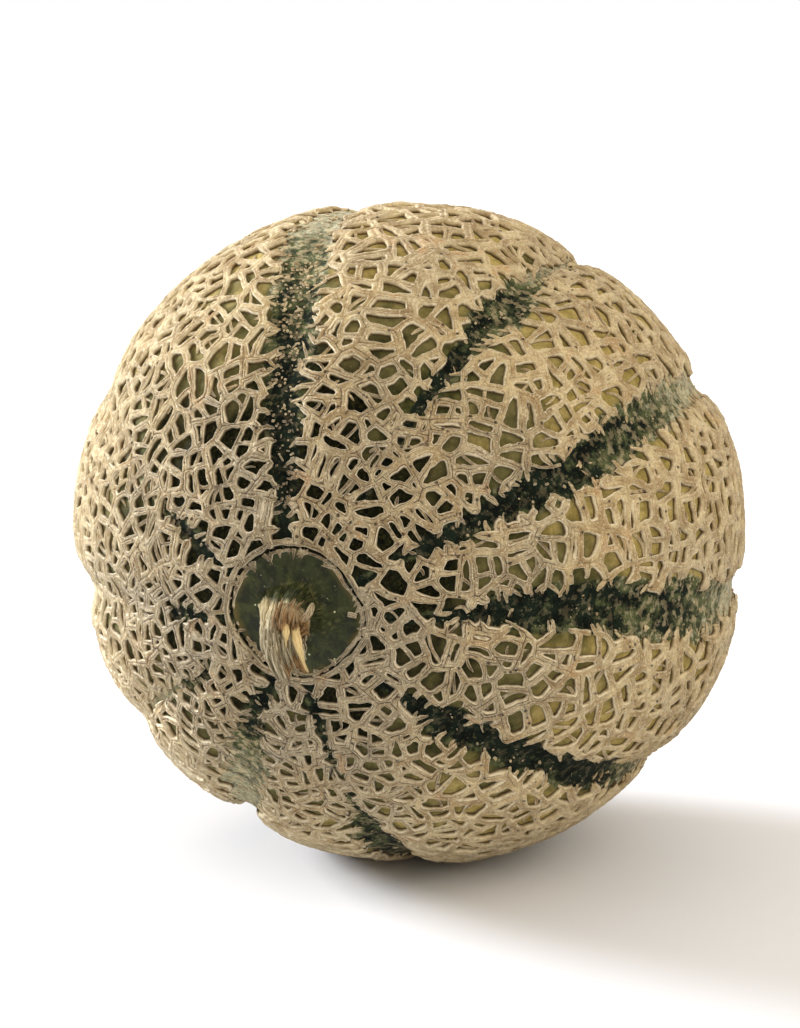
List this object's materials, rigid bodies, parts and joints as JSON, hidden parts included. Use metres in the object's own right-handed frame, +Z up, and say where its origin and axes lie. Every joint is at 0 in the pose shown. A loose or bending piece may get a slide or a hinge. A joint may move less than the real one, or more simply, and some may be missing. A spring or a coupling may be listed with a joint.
{
  "type": "cantaloupe melon",
  "caption": "Whole netted and ribbed cantaloupe melon lying on its side on a small flat spot, with furrows between its ribs, a smooth stem-end plate and a short torn stem stub.",
  "frame": {"origin": "middle of the flat resting spot, straight under the middle of the fruit", "axes": "+Z up out of the resting spot; the stem end faces -Y and the blossom end faces +Y, so the fruit's axis lies level; +X to the right as seen from the stem end"},
  "size_m": [0.1524, 0.1583, 0.1476],
  "materials": {
    "rind": "satin green to olive-yellow skin between the net, dark green in the furrows and at the stem end",
    "net": "dry matt raised corky net, tan to grey-beige, with fine cracks along its strands",
    "stem": "dry matt fibrous stalk, cream ridges, brown and pale yellow torn fibres"
  },
  "bodies": {
    "root": {"melon_fruit": "rind", "stem_stub": "stem"}
  },
  "joints": []
}
